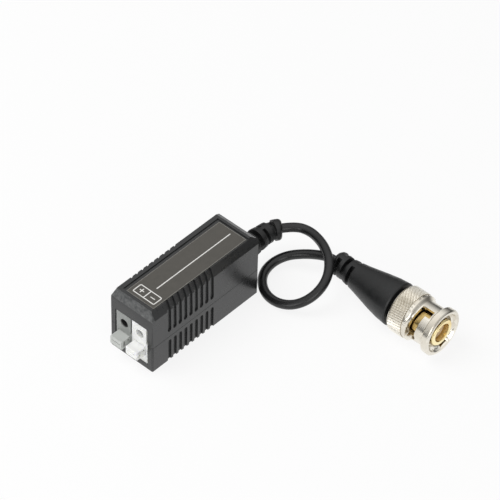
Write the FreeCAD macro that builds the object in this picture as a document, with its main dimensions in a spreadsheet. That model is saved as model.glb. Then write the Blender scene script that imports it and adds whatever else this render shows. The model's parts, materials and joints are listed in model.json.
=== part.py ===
# Video balun: a two-part plastic box with two push-lever wire terminals at its front,
# and a short cable from its rear to a bayonet plug that lies beside it.
# Millimetres. +X runs from the terminals to the cable end, +Y to the left, +Z up.
# The origin is at the middle of the box and its levers, on the surface it stands on.
import FreeCAD, Part
import Sketcher
import math
import os
from FreeCAD import Placement, Rotation, Vector

doc = FreeCAD.newDocument("VideoBalun")

# Driving sizes

SIZES = {
    # box
    "body_length": 42.8, "body_width": 16.0, "body_height": 22.3, "seam_height": 9.3,
    "wall_thick": 1.5, "floor_thick": 1.5, "draft_inset": 0.2, "corner_round": 0.6,
    "side_chamfer": 1.35, "chamfer_drop": 3.2, "front_chamfer": 1.0,
    "rear_chamfer": 1.9, "rear_drop": 1.5, "foot_chamfer": 0.12, "roof_room": 0.7,
    "seam_line": 0.12, "lip_tall": 1.2, "lip_thick": 0.65, "lip_gap": 0.06, "lip_inset": 13.0,
    # grip grooves
    "groove_width": 1.3, "groove_deep": 0.5, "groove_pitch": 2.12, "groove_first": 6.8,
    "groove_top": -0.1, "groove_above": 1.85, "groove_below": 1.4,
    # label and its recess
    "recess_deep": 0.35, "recess_front": 2.1, "recess_rear": 2.95, "recess_left": 2.95,
    "label_front_gap": 0.1, "label_right": 1.75, "label_thick": 0.12, "label_rear_gap": 0.55,
    "label_left_gap": 1.05,
    # terminal window and blocks
    "window_sill": 1.85, "window_tall": 13.3, "window_half": 6.1, "block_width": 5.85, "block_shift": -0.1,
    "block_gap": 0.1, "block_deep": 10.0, "block_inset": 0.1, "wire_hole": 1.4, "wire_drop": 3.5,
    "wire_deep": 8.0, "step_deep": 4.6, "rabbet_wide": 0.5, "rabbet_deep": 1.5, "rabbet_drop": 5.9,
    # push levers
    "lever_out": 3.3, "lever_width": 4.2, "lever_travel": 1.6, "lever_inside": 2.85,
    "lever_top": 7.9, "lever_low": 4.9, "slot_gap": 0.12,
    "driver_slot_drop": 1.05, "driver_slot_tall": 0.35, "driver_slot_wide": 3.0, "driver_slot_deep": 0.4,
    "key_slot_at": 1.0, "key_slot_long": 0.6, "key_slot_low": 0.7, "key_slot_tall": 1.9,
    "key_nick_at": 2.6, "key_nick_long": 0.5, "key_nick_low": 1.85, "key_nick_tall": 0.75, "key_cut_deep": 0.9,
    "chamber_front": 3.2, "chamber_low": 4.1, "chamber_half": 1.9, "barb_drop": 0.6, "barb_long": 0.6,
    # circuit board and what stands on it
    "board_under": 2.6, "board_thick": 1.0, "board_side_gap": 0.3, "board_rear_gap": 1.1, "post_radius": 1.1,
    "core_outer": 4.6, "core_inner": 2.4, "core_tall": 4.2, "core_lift": 0.5, "core_x": -1.6,
    "turn_wire": 0.38, "arrestor_radius": 2.4, "arrestor_long": 5.0, "arrestor_x": 7.2,
    "capacitor_radius": 2.5, "capacitor_thick": 2.0, "capacitor_x": 12.0,
    "resistor_radius": 0.85, "resistor_long": 3.4, "resistor_x": 14.8, "resistor_y": 4.2,
    "strip_thick": 0.4, "strip_wide": 2.4, "leaf_thick": 0.3, "tail_slack": 0.08,
    # strain relief and cable
    "relief_axis": 9.9, "relief_base": 4.25, "relief_tail": 3.15, "relief_core": 1.7, "relief_round": 1.1,
    "relief_bend_x": 33.9, "relief_bend_radius": 8.0, "relief_bend_angle": 42.0, "relief_neck": 2.9,
    "neck_gap": 0.05,
    "flange_radius": 3.9, "flange_thick": 1.2, "web_thick": 1.1,
    "side_slot_width": 1.15, "top_slot_width": 1.75, "side_slot_first": 3.8, "slot_step": 3.12,
    "bend_slot_from": 11.0, "bend_slot_to": 25.0, "cable_diameter": 2.8, "wire_radius": 0.35,
    # plug: stations along its axis are counted from the boot's tail
    "plug_x": 41.1, "plug_tail_y": -21.6, "plug_axis_height": 7.26,
    "boot_length": 22.8, "boot_reach": 1.1, "boot_front": 6.75, "boot_tail": 3.6, "boot_waist": 3.4,
    "boot_bore": 3.55, "boot_bore_deep": 12.0,
    "boot_slot_first": 0.5, "boot_slot_width": 1.35, "boot_slot_pitch": 2.5, "boot_core": 1.75, "boot_web": 1.8,
    "nut_rear": 24.1, "nut_length": 14.6, "nut_radius": 7.25, "grip_length": 5.2, "grip_step": 0.25,
    "shoulder_radius": 7.0, "shoulder_flat": 1.0, "shoulder_long": 0.8,
    "barrel_radius": 6.05, "rim_thick": 2.3, "nut_bore": 4.95, "mouth_radius": 6.1, "mouth_deep": 0.9,
    "nut_chamber": 5.75, "nut_rear_wall": 1.4, "nut_rear_hole": 4.35, "flange_at": 28.4, "flange_long": 1.1,
    "nut_play": 0.1,
    "slot_width": 2.6, "slot_from": 92.0, "slot_sweep": 106.0, "slot_centre": 32.35, "slot_tilt": 6.5,
    "lug_width": 2.5, "keyway_radius": 5.65, "notch_reach": 1.3,
    "sleeve_outer": 4.12, "sleeve_inner": 2.9, "sleeve_inset": 0.25, "stem_radius": 4.2, "neck_radius": 3.3,
    "crimp_radius": 2.9,
    "insulator_inset": 2.0, "pin_radius": 0.67, "pin_inset": 1.4, "fit_gap": 0.03,
    "collar_radius": 4.7, "collar_long": 1.5, "ferrule_radius": 3.5, "ferrule_long": 9.0,
    "washer_thick": 0.4, "spring_thick": 0.3, "spring_room": 0.1,
}

# Places that several pieces share, worked out from the driving sizes

PLACES = {
    "front_x": "=(lever_out - body_length) / 2",
    "rear_x": "=front_x + body_length",
    "half_width": "=body_width / 2",
    "shoulder_z": "=body_height - chamfer_drop",
    "cavity_half": "=half_width - wall_thick",
    "cavity_top": "=shoulder_z + roof_room",
    "board_half": "=cavity_half - board_side_gap",
    "window_top": "=window_sill + window_tall",
    "block_front": "=front_x + block_inset",
    "block_low": "=window_sill + block_gap",
    "block_top": "=window_top - block_gap",
    "wire_z": "=window_top - wire_drop",
    "board_top": "=board_under + board_thick",
    "board_front": "=block_front + step_deep",
    "board_rear": "=rear_x - wall_thick - board_rear_gap",
    "chamber_x": "=block_front + chamber_front",
    "chamber_rear": "=block_front + wire_deep",
    "lever_tip": "=front_x - lever_out",
    "lever_end": "=block_front + lever_inside",
    "tail_x": "=chamber_rear - strip_thick - 0.1",
    "contact_z": "=wire_z + wire_hole + slot_gap",
    "chamber_top": "=contact_z + strip_thick + slot_gap",
    "groove_z": "=seam_height + groove_above + groove_width / 2",
    "groove_end": "=body_height - groove_top - groove_width / 2",
    "groove_start": "=seam_height - groove_below - groove_width / 2",
    "nut_front": "=nut_rear + nut_length",
    "chamber_back": "=nut_rear + nut_rear_wall",
    "chamber_fore": "=flange_at + flange_long + nut_play",
    "cable_radius": "=cable_diameter / 2",
}

sheet = doc.addObject("Spreadsheet::Sheet", "Sizes")
for row, (alias, value) in enumerate(list(SIZES.items()) + list(PLACES.items()), start=1):
    sheet.set("A%d" % row, alias)
    sheet.set("B%d" % row, str(value))
    sheet.setAlias("B%d" % row, alias)
doc.recompute()


def size(alias):
    """The number that a cell of the sheet holds."""
    return float(getattr(sheet, alias))


def cells(formula):
    """A formula in which each sheet alias is written as the sheet's cell."""
    words, word = [], ""
    for letter in formula + " ":
        if letter.isalnum() or letter == "_":
            word += letter
        else:
            words.append("Sizes." + word if word in SIZES or word in PLACES else word)
            words.append(letter)
            word = ""
    return "".join(words).strip()


def bind(thing, **formulas):
    """Ties properties of an object to the sheet. A double underscore stands for a dot."""
    for name, formula in formulas.items():
        thing.setExpression(name.replace("__", "."), cells(str(formula)))
    return thing


def at(thing, x="0", y="0", z="0"):
    """Places an object by three formulas."""
    return bind(thing, Placement__Base__x=x, Placement__Base__y=y, Placement__Base__z=z)


ALONG_X = Rotation(Vector(0, 1, 0), 90)
ALONG_Y = Rotation(Vector(1, 0, 0), -90)
PLUG_TURN = Rotation(Vector(0, 0, 1), -90)
DIAL_TURN = Rotation(Vector(1, 1, 1), 120)
parts = {}


def name_of(word):
    return "".join(piece.capitalize() for piece in word.split("_"))


def keep(thing, node):
    """Gives a finished sub-part its label, which names its file."""
    thing.Label = node
    parts[node] = thing
    return thing


def box(name, x, y, z, length, width, height):
    """A block from its low corner, all by formulas."""
    thing = doc.addObject("Part::Box", name_of(name))
    bind(thing, Length=length, Width=width, Height=height)
    return at(thing, x, y, z)


def rod(name, radius, length, x, y, z, turn=None):
    """A cylinder from the middle of its first face, along Z or turned."""
    thing = doc.addObject("Part::Cylinder", name_of(name))
    if turn is not None:
        thing.Placement = Placement(Vector(0, 0, 0), turn)
    bind(thing, Radius=radius, Height=length)
    return at(thing, x, y, z)


def join(name, things):
    thing = doc.addObject("Part::MultiFuse", name_of(name))
    thing.Shapes = things
    return thing


def cut(name, base, tool):
    thing = doc.addObject("Part::Cut", name_of(name))
    thing.Base = base
    thing.Tool = tool if not isinstance(tool, list) else join(name + "_tools", tool)
    return thing


def new_body(name):
    return doc.addObject("PartDesign::Body", name_of(name) + "Body")


def plane(body, role):
    return [feature for feature in body.Origin.OriginFeatures if feature.Role == role][0]


def outline(body, name, role, points, offset=None):
    """A closed sketch of straight lines. Each point is two formulas, and both are constrained."""
    sketch = body.newObject("Sketcher::SketchObject", name_of(name))
    sketch.AttachmentSupport = [(plane(body, role), "")]
    sketch.MapMode = "FlatFace"
    if offset is not None:
        sketch.setExpression("AttachmentOffset.Base.z", cells(offset))
    values = []
    for across, up in points:
        values.append((number(across), number(up)))
    for index, (across, up) in enumerate(values):
        following = values[(index + 1) % len(values)]
        first, last = Vector(across, up, 0), Vector(following[0], following[1], 0)
        sketch.addGeometry(Part.LineSegment(first, last), False)
    for index in range(len(values)):
        sketch.addConstraint(Sketcher.Constraint("Coincident", index, 2, (index + 1) % len(values), 1))
    for index, (across, up) in enumerate(points):
        for kind, formula, value, axis in (("DistanceX", across, values[index][0], -2),
                                           ("DistanceY", up, values[index][1], -1)):
            if str(formula) == "0":
                sketch.addConstraint(Sketcher.Constraint("PointOnObject", index, 1, axis))
                continue
            number_of = sketch.addConstraint(Sketcher.Constraint(kind, -1, 1, index, 1, value))
            sketch.setExpression("Constraints[%d]" % number_of, cells(str(formula)))
    return sketch


def number(formula):
    """The value of a formula at the sheet's present sizes."""
    probe = doc.getObject("Probe") or doc.addObject("App::FeaturePython", "Probe")
    return float(probe.evalExpression(cells(str(formula))))


def pad(body, sketch, length, both_ways=False, back=False):
    feature = body.newObject("PartDesign::Pad", sketch.Name + "Pad")
    feature.Profile = sketch
    bind(feature, Length=length)
    feature.Midplane = both_ways
    feature.Reversed = back
    return feature


def pocket(body, sketch, length=None, both_ways=False, back=False):
    feature = body.newObject("PartDesign::Pocket", sketch.Name + "Pocket")
    feature.Profile = sketch
    if length is None:
        feature.Type = 1
    else:
        bind(feature, Length=length)
    feature.Midplane = both_ways
    feature.Reversed = back
    return feature


def revolve(body, sketch):
    """Turns a profile once round the body's X axis."""
    feature = body.newObject("PartDesign::Revolution", sketch.Name + "Turned")
    feature.Profile = sketch
    feature.ReferenceAxis = (plane(body, "X_Axis"), [""])
    feature.Angle = 360
    return feature


def turned(name, points):
    """A body of revolution. Each point is a station along the X axis and a radius."""
    body = new_body(name)
    revolve(body, outline(body, name + "_profile", "XY_Plane", points))
    return body


def round_edges(body, name, radius, wanted):
    """Fillets the edges of the body's last feature that a test picks."""
    doc.recompute()
    last = body.Tip
    chosen = ["Edge%d" % (index + 1) for index, edge in enumerate(last.Shape.Edges) if wanted(edge)]
    fillet = body.newObject("PartDesign::Fillet", name_of(name))
    fillet.Base = (last, chosen)
    bind(fillet, Radius=radius)
    return fillet


def on_plug(thing):
    """Moves a piece that was made along its own X axis to the plug's place."""
    thing.Placement = Placement(Vector(0, 0, 0), PLUG_TURN)
    return at(thing, "plug_x", "plug_tail_y", "plug_axis_height")


# Box shells

def mirrored(half):
    """A left half of an outline with its mirror image."""
    return half + [("-(%s)" % across, up) for across, up in reversed(half)]


def upright(edge):
    first, last = edge.Vertexes[0].Point, edge.Vertexes[-1].Point
    return abs(first.x - last.x) < 0.01 and abs(first.y - last.y) < 0.01


def shell_block(name, low, high, side_cut, front_cut, rear_cut):
    """A block with rounded corners, trimmed to the drafted and chamfered faces of the box."""
    body = new_body(name)
    around = [("front_x", "-half_width"), ("rear_x", "-half_width"),
              ("rear_x", "half_width"), ("front_x", "half_width")]
    pad(body, outline(body, name + "_plan", "XY_Plane", around, low), "%s - (%s)" % (high, low))
    round_edges(body, name + "_corners", "corner_round", upright)
    other_side = [("-(%s)" % across, up) for across, up in side_cut]
    for face, role, points in (("left", "YZ_Plane", side_cut), ("right", "YZ_Plane", other_side),
                               ("front", "XZ_Plane", front_cut), ("rear", "XZ_Plane", rear_cut)):
        pocket(body, outline(body, name + "_" + face, role, points), both_ways=True)
    return body


def cavity(body, name, from_z, to_z):
    inside = [("front_x + wall_thick", "-cavity_half"), ("rear_x - wall_thick", "-cavity_half"),
              ("rear_x - wall_thick", "cavity_half"), ("front_x + wall_thick", "cavity_half")]
    plan = outline(body, name + "_cavity", "XY_Plane", inside, from_z)
    return pocket(body, plan, "%s - (%s)" % (to_z, from_z), back=True)


def window(body, name, low, high):
    hole = [("-window_half", low), ("window_half", low), ("window_half", high), ("-window_half", high)]
    opening = outline(body, name + "_window", "YZ_Plane", hole, "front_x - 1")
    return pocket(body, opening, "wall_thick + 1.5", back=True)


def grooves(name, core_profile, low, high, rounds):
    """Upright round-ended cutters through the box, less a core that leaves their depth."""
    count = 9
    cutters = []
    for index in range(count):
        x = "front_x + groove_first + %d * groove_pitch" % index
        cutters.append(box("%s_slot_%d" % (name, index), "%s - groove_width / 2" % x, "-body_width", low,
                           "groove_width", "2 * body_width", "%s - (%s)" % (high, low)))
        for end, z in rounds.items():
            cutters.append(rod("%s_%s_%d" % (name, end, index), "groove_width / 2", "2 * body_width",
                               x, "-body_width", z, ALONG_Y))
    core = new_body(name + "_core")
    pad(core, outline(core, name + "_core_section", "YZ_Plane", core_profile, "front_x"), "body_length")
    return cut(name + "_cutters", join(name + "_all", cutters), core)


def rear_hole(name):
    return rod(name + "_rear_hole", "relief_neck + neck_gap", "wall_thick + 2", "rear_x - wall_thick - 1", "0",
               "relief_axis", ALONG_X)


def make_upper_shell():
    roof_side = "half_width - draft_inset - side_chamfer"
    side = [("half_width + 2", "seam_height"), ("half_width", "seam_height"),
            ("half_width - draft_inset", "shoulder_z"), (roof_side, "body_height"),
            (roof_side, "body_height + 1"), ("half_width + 2", "body_height + 1")]
    front = [("front_x - 2", "seam_height"), ("front_x", "seam_height"),
             ("front_x + draft_inset", "shoulder_z"), ("front_x + draft_inset + front_chamfer", "body_height"),
             ("front_x + draft_inset + front_chamfer", "body_height + 1"), ("front_x - 2", "body_height + 1")]
    rear = [("rear_x + 2", "seam_height"), ("rear_x", "seam_height"),
            ("rear_x - draft_inset", "body_height - rear_drop"),
            ("rear_x - draft_inset - rear_chamfer", "body_height"),
            ("rear_x - draft_inset - rear_chamfer", "body_height + 1"), ("rear_x + 2", "body_height + 1")]
    body = shell_block("upper_shell", "seam_height", "body_height", side, front, rear)
    cavity(body, "upper_shell", "seam_height", "cavity_top")
    window(body, "upper_shell", "seam_height - 1", "window_top")
    recess = [("front_x + recess_front", "-half_width - 1"), ("rear_x - recess_rear", "-half_width - 1"),
              ("rear_x - recess_rear", "half_width - recess_left"),
              ("front_x + recess_front", "half_width - recess_left")]
    pocket(body, outline(body, "label_recess", "XY_Plane", recess, "body_height"), "recess_deep")
    core = [("-(half_width - groove_deep)", "seam_height"),
            ("-(half_width - draft_inset - groove_deep)", "shoulder_z"),
            ("-(half_width - draft_inset - side_chamfer - groove_deep)", "body_height")]
    ends = {"low": "groove_z", "high": "groove_end"}
    cutters = grooves("upper_groove", mirrored(core), "groove_z", "groove_end", ends)
    shell = cut("upper_shell_cut", body, [cutters, rear_hole("upper")])
    lips = []
    for side_name, sign in (("left", ""), ("right", "-")):
        inner = "cavity_half - lip_gap - lip_thick"
        for level, low, tall, reach in (("lip", "seam_height - lip_tall", "lip_tall + 0.2", "lip_thick"),
                                        ("rib", "seam_height", "lip_tall", "lip_thick + lip_gap + 0.2")):
            y = inner if sign == "" else "-(%s) - (%s)" % (inner, reach)
            lips.append(box("%s_%s" % (side_name, level), "front_x + lip_inset", y, low,
                            "body_length - 2 * lip_inset", reach, tall))
    keep(join("upper_shell_full", [shell] + lips), "upper_shell")


def make_lower_shell():
    side = [("half_width + 2", "-1"), ("half_width - foot_chamfer", "-1"), ("half_width - foot_chamfer", "0"),
            ("half_width", "foot_chamfer"), ("half_width + 2", "foot_chamfer")]
    front = [("front_x - 2", "-1"), ("front_x + foot_chamfer", "-1"), ("front_x + foot_chamfer", "0"),
             ("front_x", "foot_chamfer"), ("front_x - 2", "foot_chamfer")]
    rear = [("rear_x + 2", "-1"), ("rear_x - foot_chamfer", "-1"), ("rear_x - foot_chamfer", "0"),
            ("rear_x", "foot_chamfer"), ("rear_x + 2", "foot_chamfer")]
    body = shell_block("lower_shell", "0", "seam_height - seam_line", side, front, rear)
    cavity(body, "lower_shell", "floor_thick", "seam_height + 1")
    window(body, "lower_shell", "window_sill", "seam_height + 1")
    core = [("-(half_width - groove_deep)", "-1"), ("-(half_width - groove_deep)", "seam_height")]
    cutters = grooves("lower_groove", mirrored(core), "-1", "groove_start", {"high": "groove_start"})
    shell = cut("lower_shell_cut", body, [cutters, rear_hole("lower")])
    posts = []
    for x in ("board_front + post_radius + 0.2", "board_rear - 2 * post_radius"):
        for y in ("board_half - 2 * post_radius", "-(board_half - 2 * post_radius)"):
            posts.append(rod("post_%d" % len(posts), "post_radius", "board_under - floor_thick + 0.2", x, y,
                             "floor_thick - 0.2"))
    keep(join("lower_shell_full", [shell] + posts), "lower_shell")


def make_label():
    start = "front_x + recess_front + label_front_gap"
    keep(box("label", start, "label_right - half_width", "body_height - recess_deep",
             "rear_x - recess_rear - label_rear_gap - (%s)" % start,
             "body_width - recess_left - label_right - label_left_gap", "label_thick"), "label")


# Wire terminals

def make_terminal(colour, side):
    """One terminal: its block, its push lever, the leaf that clamps the wire and the contact strip."""
    middle = "((%s) * block_width / 2 + block_shift)" % side

    def across(name, x, z, long, tall, width):
        """A block centred on this terminal's middle plane."""
        return box(name + "_" + colour, x, "%s - (%s) / 2" % (middle, width), z, long, width, tall)

    def strip(name, points, width):
        """A sketch of the side view, padded about the terminal's middle plane."""
        body = new_body(name + "_" + colour)
        side_view = outline(body, name + "_side_" + colour, "XZ_Plane", points, "-(%s)" % middle)
        pad(body, side_view, width, both_ways=True)
        return body

    blank = strip("block", [("block_front", "block_low"), ("board_front - 0.1", "block_low"),
                            ("board_front - 0.1", "board_top"), ("block_front + block_deep", "board_top"),
                            ("block_front + block_deep", "block_top"), ("block_front", "block_top")],
                  "block_width - 0.04")
    slot_low = "lever_low - slot_gap"
    openings = [
        rod("wire_hole_" + colour, "wire_hole", "wire_deep + 1", "block_front - 1", middle, "wire_z", ALONG_X),
        across("lever_slot", "block_front - 1", slot_low, "chamber_front + 1.5",
               "lever_top - lever_low + 2 * slot_gap", "lever_width + 2 * slot_gap"),
        across("chamber", "chamber_x", "chamber_low", "chamber_rear - chamber_x", "chamber_top - chamber_low",
               "2 * chamber_half"),
        across("barb_room", "lever_end - barb_long - 0.3 - slot_gap", "lever_low - barb_drop - slot_gap",
               "barb_long + 0.3 + lever_travel + 2 * slot_gap", "barb_drop + 2 * slot_gap", "2 * chamber_half"),
        across("tail_slot", "tail_x - tail_slack", "board_top - 1", "strip_thick + 2 * tail_slack",
               "chamber_low - board_top + 2", "strip_wide + 2 * tail_slack"),
        box("rabbet_" + colour, "block_front - 1", "%s - block_width / 2 - 1" % middle,
            "window_top - rabbet_drop", "1 + rabbet_deep", "1 + rabbet_wide", "rabbet_drop + 1"),
    ]
    keep(cut("terminal_body_" + colour, blank, openings), "terminal_body_" + colour)

    lever_side = [("lever_end", "lever_low"), ("lever_end", "lever_low - barb_drop"),
                  ("lever_end - barb_long", "lever_low - barb_drop"),
                  ("lever_end - barb_long - 0.3", "lever_low"),
                  ("lever_tip + 0.3", "lever_low"), ("lever_tip", "lever_low + 0.3"),
                  ("lever_tip", "lever_top - 0.2"), ("lever_tip + 0.2", "lever_top"),
                  ("lever_end", "lever_top")]
    blank = strip("lever", lever_side, "lever_width")
    right_side = "%s - lever_width / 2" % middle
    notches = [
        box("driver_slot_" + colour, "lever_tip - 1", "%s - driver_slot_wide / 2" % middle,
            "lever_top - driver_slot_drop - driver_slot_tall", "1 + driver_slot_deep", "driver_slot_wide",
            "driver_slot_tall"),
        box("key_slot_" + colour, "lever_tip + key_slot_at", "%s - 1" % right_side, "lever_low + key_slot_low",
            "key_slot_long", "1 + key_cut_deep", "key_slot_tall"),
        box("key_nick_" + colour, "lever_tip + key_nick_at", "%s - 1" % right_side, "lever_low + key_nick_low",
            "key_nick_long", "1 + key_cut_deep", "key_nick_tall"),
        across("plunger_right", "lever_end - 0.01 - 1.9", "lever_low - 2", "2", "6", "lever_width + 1"),
    ]
    plunger = across("plunger", "lever_end - 2", "lever_low - barb_drop", "2",
                     "lever_top - lever_low + barb_drop", "2 * chamber_half - 2 * slot_gap")
    front_part = cut("lever_front_" + colour, blank, notches)
    shank = doc.addObject("Part::MultiCommon", name_of("shank_" + colour))
    shank.Shapes = [strip("shank_blank", lever_side, "lever_width"), plunger]
    keep(join("push_lever_" + colour, [front_part, shank]), "push_lever_" + colour)

    contact_side = [("chamber_x + 0.3", "contact_z"), ("tail_x", "contact_z"), ("tail_x", "board_under - 0.6"),
                    ("tail_x + strip_thick", "board_under - 0.6"),
                    ("tail_x + strip_thick", "contact_z + strip_thick"),
                    ("chamber_x + 0.3", "contact_z + strip_thick")]
    keep(strip("contact", contact_side, "strip_wide"), "contact_" + colour)

    reach = "lever_end + 0.3"
    leaf_side = [("tail_x", "chamber_low + 0.3"), ("tail_x", "chamber_low + 0.3 + leaf_thick"),
                 ("%s + leaf_thick" % reach, "lever_low + 0.9"), ("%s + leaf_thick" % reach, "lever_top - 0.6"),
                 ("tail_x - 1.1", "wire_z - wire_hole - 0.2"), ("tail_x - 1.5", "wire_z - wire_hole - 0.1"),
                 (reach, "lever_top - 0.5"), (reach, "lever_low + 0.7")]
    keep(strip("leaf", leaf_side, "strip_wide"), "clamp_spring_" + colour)


# Circuit board and its parts

def make_board():
    blank = box("board_blank", "board_front", "-board_half", "board_under", "board_rear - board_front",
                "2 * board_half", "board_thick")
    slots = []
    for index, side in enumerate(("1", "-1")):
        slots.append(box("tail_hole_%d" % index, "tail_x - tail_slack",
                         "(%s) * block_width / 2 + block_shift - strip_wide / 2 - tail_slack" % side,
                         "board_under - 1",
                         "strip_thick + 2 * tail_slack", "strip_wide + 2 * tail_slack", "board_thick + 2"))
    keep(cut("circuit_board", blank, slots), "circuit_board")


def make_toroid():
    """The choke: a ring core and two windings, each a row of closed turns round half of it."""
    low = "board_top + core_lift"
    keep(cut("toroid_core", rod("core_ring", "core_outer", "core_tall", "core_x", "0", low),
             rod("core_hole", "core_inner", "core_tall + 2", "core_x", "0", "board_top")), "toroid_core")
    turns = 6
    for winding, start in (("primary_winding", 22.0), ("secondary_winding", 202.0)):
        loops = []
        for index in range(turns):
            angle = start + index * 27.0
            turn = Rotation(Vector(0, 0, 1), angle)
            frame = doc.addObject("Part::Box", name_of("%s_outside_%d" % (winding, index)))
            hole = doc.addObject("Part::Box", name_of("%s_inside_%d" % (winding, index)))
            for block, grow in ((frame, "turn_wire"), (hole, "0")):
                block.Placement = Placement(Vector(0, 0, 0), turn)
                inner = "(core_inner - 0.02 - %s)" % grow
                back = "turn_wire / 2" if block is frame else "turn_wire"
                bind(block, Length="core_outer + 0.02 + %s - %s" % (grow, inner), Width="2 * %s" % back,
                     Height="core_tall + 0.04 + 2 * %s" % grow)
                cosine, sine = math.cos(math.radians(angle)), math.sin(math.radians(angle))
                at(block, "core_x + %s * %r + %s * %r" % (inner, cosine, back, sine),
                   "%s * %r - %s * %r" % (inner, sine, back, cosine), "%s - 0.02 - %s" % (low, grow))
            loops.append(cut("%s_turn_%d" % (winding, index), frame, hole))
        keep(join(winding, loops), winding)


def make_small_parts():
    keep(rod("surge_arrestor", "arrestor_radius", "arrestor_long", "arrestor_x", "-arrestor_long / 2",
             "board_top + arrestor_radius", ALONG_Y), "surge_arrestor")
    keep(rod("filter_capacitor", "capacitor_radius", "capacitor_thick", "capacitor_x", "0",
             "board_top + capacitor_radius", ALONG_X), "filter_capacitor")
    pair = [rod("resistor_%s" % side, "resistor_radius", "resistor_long", "resistor_x", y,
                "board_top + resistor_radius", ALONG_X)
            for side, y in (("left", "resistor_y"), ("right", "-resistor_y"))]
    keep(join("resistors", pair), "resistors")
    for wire, y in (("signal_wire", "0.9"), ("shield_wire", "-0.9")):
        start = "rear_x - wall_thick - neck_gap * 2 - flange_thick"
        reach = "2.6"
        bend = "%s - %s" % (start, reach)
        level = rod(wire + "_level", "wire_radius", reach, bend, y, "relief_axis", ALONG_X)
        drop = rod(wire + "_drop", "wire_radius", "relief_axis - board_top", bend, y, "board_top")
        elbow = doc.addObject("Part::Sphere", name_of(wire + "_elbow"))
        bind(elbow, Radius="wire_radius")
        at(elbow, bend, y, "relief_axis")
        keep(join(wire, [level, drop, elbow]), wire)


# Strain relief at the box

def slot_ring(name, station, width, webs, axis_z, turn, radius, core, web="web_thick"):
    """A ring-shaped cutter across a relief, less the core and two webs left in its way."""
    ring = rod(name + "_ring", radius, width, station, "0", axis_z, turn)
    middle = rod(name + "_middle", core, "%s + 2" % width, "%s - 1" % station, "0", axis_z, turn)
    start, long = "%s - 1" % station, "%s + 2" % width
    if webs == "upright":
        left = box(name + "_web", start, "-%s / 2" % web, "%s - 9" % axis_z, long, web, "18")
    else:
        left = box(name + "_web", start, "-9", "%s - %s / 2" % (axis_z, web), long, "18", web)
    return cut(name, ring, [middle, left])


def bend_ring(name, radius, from_angle, sweep):
    """A stretch of the relief's bend, as a piece of a ring that lies level."""
    ring = doc.addObject("Part::Torus", name_of(name))
    ring.Placement = Placement(Vector(0, 0, 0), Rotation(Vector(0, 0, 1), 90))
    bind(ring, Radius1="relief_bend_radius", Radius2=radius, Angle3=sweep)
    bind(ring, Placement__Rotation__Angle="90 - (%s) - (%s)" % (from_angle, sweep))
    return at(ring, "relief_bend_x", "-relief_bend_radius", "relief_axis")


def relief_end():
    """The middle of the relief's tail face, and the direction in which the cable leaves it."""
    angle, bend = math.radians(size("relief_bend_angle")), size("relief_bend_radius")
    leave = Vector(math.cos(angle), -math.sin(angle), 0)
    return Vector(size("relief_bend_x") + bend * math.sin(angle), -bend * (1 - math.cos(angle)),
                  size("relief_axis")), leave


def tail_edges(shape):
    """The numbers of the edges that lie in the plane of the relief's tail face."""
    middle, leave = relief_end()
    found = []
    for index, edge in enumerate(shape.Edges, start=1):
        points = edge.discretize(5)
        if all(abs((point - middle).dot(leave)) < 0.01 for point in points):
            found.append(index)
    return found


def make_strain_relief():
    start = "rear_x + neck_gap"
    cone = doc.addObject("Part::Cone", name_of("relief_cone"))
    cone.Placement = Placement(Vector(0, 0, 0), ALONG_X)
    bind(cone, Radius1="relief_base", Radius2="relief_tail", Height="relief_bend_x - (%s)" % start)
    at(cone, start, "0", "relief_axis")
    inside = "rear_x - wall_thick"
    neck = rod("relief_neck", "relief_neck", "wall_thick + 1", inside + " - 0.5", "0", "relief_axis", ALONG_X)
    flange = rod("relief_flange", "flange_radius", "flange_thick", inside + " - neck_gap * 2 - flange_thick",
                 "0", "relief_axis", ALONG_X)
    bend = bend_ring("relief_bend", "relief_tail", "0", "relief_bend_angle")
    tail = doc.addObject("Part::Fillet", name_of("relief_tail_round"))
    doc.recompute()
    tail.Base = join("relief_solid", [cone, neck, flange, bend])
    doc.recompute()
    tail.Edges = [(index, size("relief_round"), size("relief_round")) for index in tail_edges(tail.Base.Shape)]
    cuts = []
    for index, webs in enumerate(("upright", "level", "upright")):
        wide = "side_slot_width" if webs == "upright" else "top_slot_width"
        station = "rear_x + side_slot_first + %d * slot_step - (%s) / 2" % (index, wide)
        cuts.append(slot_ring("relief_slot_%d" % index, station, wide, webs, "relief_axis", ALONG_X, "9",
                              "relief_core"))
    gap = bend_ring("relief_gap", "relief_tail + 1", "bend_slot_from", "bend_slot_to - bend_slot_from")
    middle = bend_ring("relief_gap_core", "relief_core", "bend_slot_from - 5",
                       "bend_slot_to - bend_slot_from + 10")
    web = box("relief_gap_web", "relief_bend_x", "-9", "relief_axis - web_thick / 2", "9", "18", "web_thick")
    cuts.append(cut("relief_gap_cut", gap, [middle, web]))
    keep(cut("strain_relief", tail, cuts), "strain_relief")


# Cable, from the strain relief round one loop and under itself into the boot

ROUTE = [(39.2, -2.1, 9.9), (42.2, -4.8, 9.8), (43.5, -8.9, 10.0), (42.5, -13.4, 10.6), (40.3, -17.8, 11.3),
         (37.3, -22.0, 11.0), (33.1, -24.6, 8.8), (28.3, -24.4, 6.0), (24.3, -21.5, 3.4), (22.4, -17.0, 1.9),
         (22.5, -12.1, 1.5), (24.8, -7.9, 1.5), (28.5, -5.0, 1.6), (33.0, -4.4, 2.2), (37.0, -6.4, 3.5),
         (39.6, -10.6, 5.0), (40.8, -15.0, 6.4), (41.1, -18.2, 7.2), (41.1, -20.5, 7.26)]
ARC_SHARE = 0.45


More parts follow.
